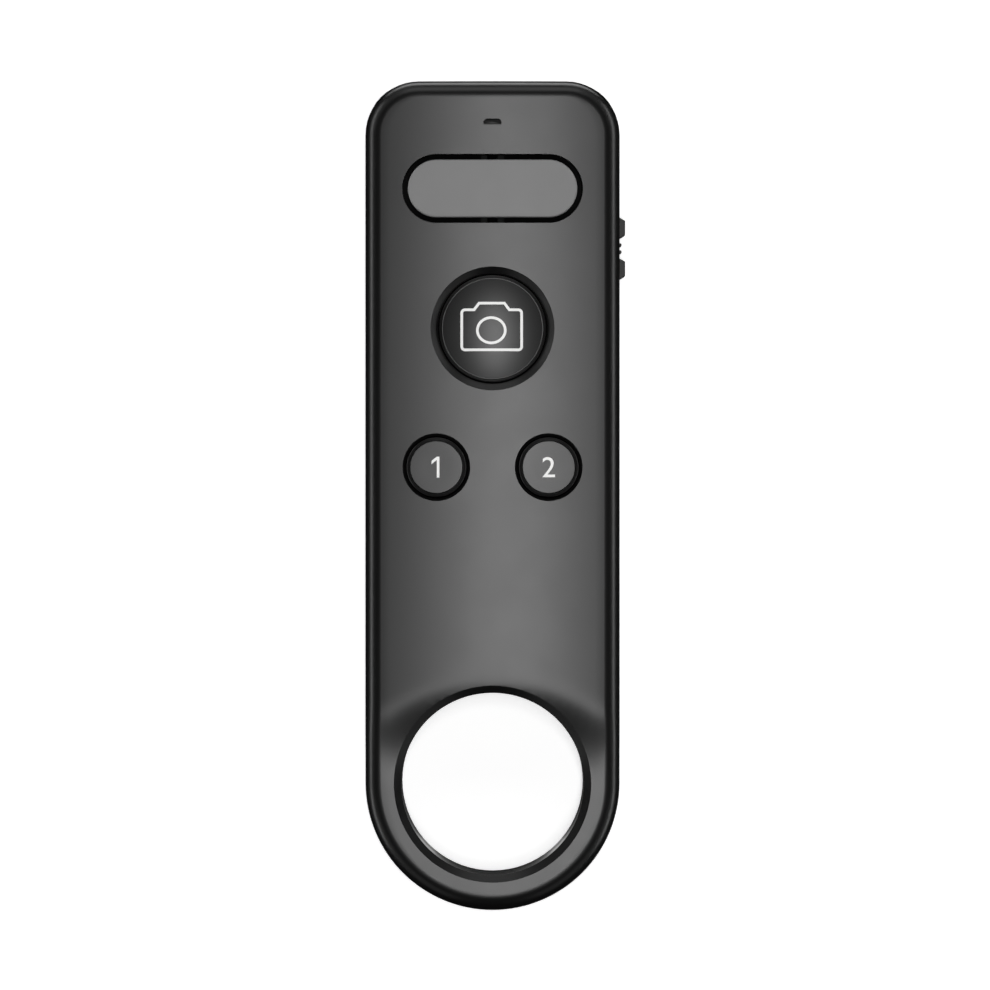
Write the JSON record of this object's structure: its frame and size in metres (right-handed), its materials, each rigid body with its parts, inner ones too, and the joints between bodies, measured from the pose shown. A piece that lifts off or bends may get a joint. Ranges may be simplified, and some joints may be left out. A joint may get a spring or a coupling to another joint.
{
  "type": "wireless camera remote",
  "caption": "Slim dark handheld camera remote with round shutter key, rocking zoom bar, two small keys, side power slider and a finger ring at its lower end.",
  "frame": {"origin": "on the rear face, at the middle of the body's plan", "axes": "+Z out of the front face, +Y towards the indicator end, +X towards the power slider"},
  "size_m": [0.0307, 0.0978, 0.0098],
  "materials": {
    "front_shell_plastic": "fine spark-eroded satin",
    "rear_shell_plastic": "fine spark-eroded matt",
    "shutter_cap_plastic": "satin",
    "small_cap_plastic": "satin",
    "zoom_bar_plastic": "satin",
    "silicone": "matt",
    "dome_steel": "rolled",
    "clear_plastic": "polished",
    "lamp_resin": "smooth",
    "board_laminate": "dark solder mask",
    "chip_resin": "moulded",
    "can_steel": "nickel plated",
    "antenna_ceramic": "fired",
    "component_ceramic": "fired",
    "lever_plastic": "moulded",
    "slider_plastic": "satin",
    "cell_steel": "brushed nickel plate",
    "contact_bronze": "stamped",
    "door_plastic": "fine spark-eroded matt",
    "screw_steel": "zinc plated"
  },
  "bodies": {
    "case": {"front_shell": "front_shell_plastic", "rear_shell": "rear_shell_plastic", "key_mat": "silicone", "shutter_dome": "dome_steel", "left_dome": "dome_steel", "right_dome": "dome_steel", "zoom_out_dome": "dome_steel", "zoom_in_dome": "dome_steel", "light_pipe": "clear_plastic", "indicator_led": "lamp_resin", "circuit_board": "board_laminate", "radio_chip": "chip_resin", "crystal": "can_steel", "chip_antenna": "antenna_ceramic", "chip_parts": "component_ceramic", "switch_housing": "can_steel", "coin_cell": "cell_steel", "positive_contact": "contact_bronze", "negative_contact": "contact_bronze", "case_screws": "screw_steel"},
    "shutter_key": {"shutter_cap": "shutter_cap_plastic"},
    "left_key": {"left_cap": "small_cap_plastic"},
    "right_key": {"right_cap": "small_cap_plastic"},
    "zoom_key": {"zoom_bar": "zoom_bar_plastic"},
    "slider": {"power_slider": "slider_plastic", "switch_lever": "lever_plastic"},
    "door": {"battery_door": "door_plastic"}
  },
  "joints": [
    {"name": "shutter_press", "type": "slide", "parent": "case", "child": "shutter_key", "axis": [0, 0, -1], "range_m": [0, 0.0003], "stiffness_N_per_m": 3000, "deforming": ["key_mat", "shutter_dome"]},
    {"name": "left_press", "type": "slide", "parent": "case", "child": "left_key", "axis": [0, 0, -1], "range_m": [0, 0.0003], "stiffness_N_per_m": 3000, "deforming": ["key_mat", "left_dome"]},
    {"name": "right_press", "type": "slide", "parent": "case", "child": "right_key", "axis": [0, 0, -1], "range_m": [0, 0.0003], "stiffness_N_per_m": 3000, "deforming": ["key_mat", "right_dome"]},
    {"name": "zoom_rock", "type": "hinge", "parent": "case", "child": "zoom_key", "pos_m": [0, 0.03615, 0.00725], "axis": [0, 1, 0], "range_deg": [-2.5, 2.5], "stiffness_Nm_per_rad": 0.2, "deforming": ["key_mat", "zoom_out_dome", "zoom_in_dome"]},
    {"name": "power_slide", "type": "slide", "parent": "case", "child": "slider", "axis": [0, -1, 0], "range_m": [0, 0.002]},
    {"name": "door_turn", "type": "hinge", "parent": "case", "child": "door", "pos_m": [0, -0.0103, 0], "axis": [0, 0, -1], "range_deg": [0, 45]}
  ]
}
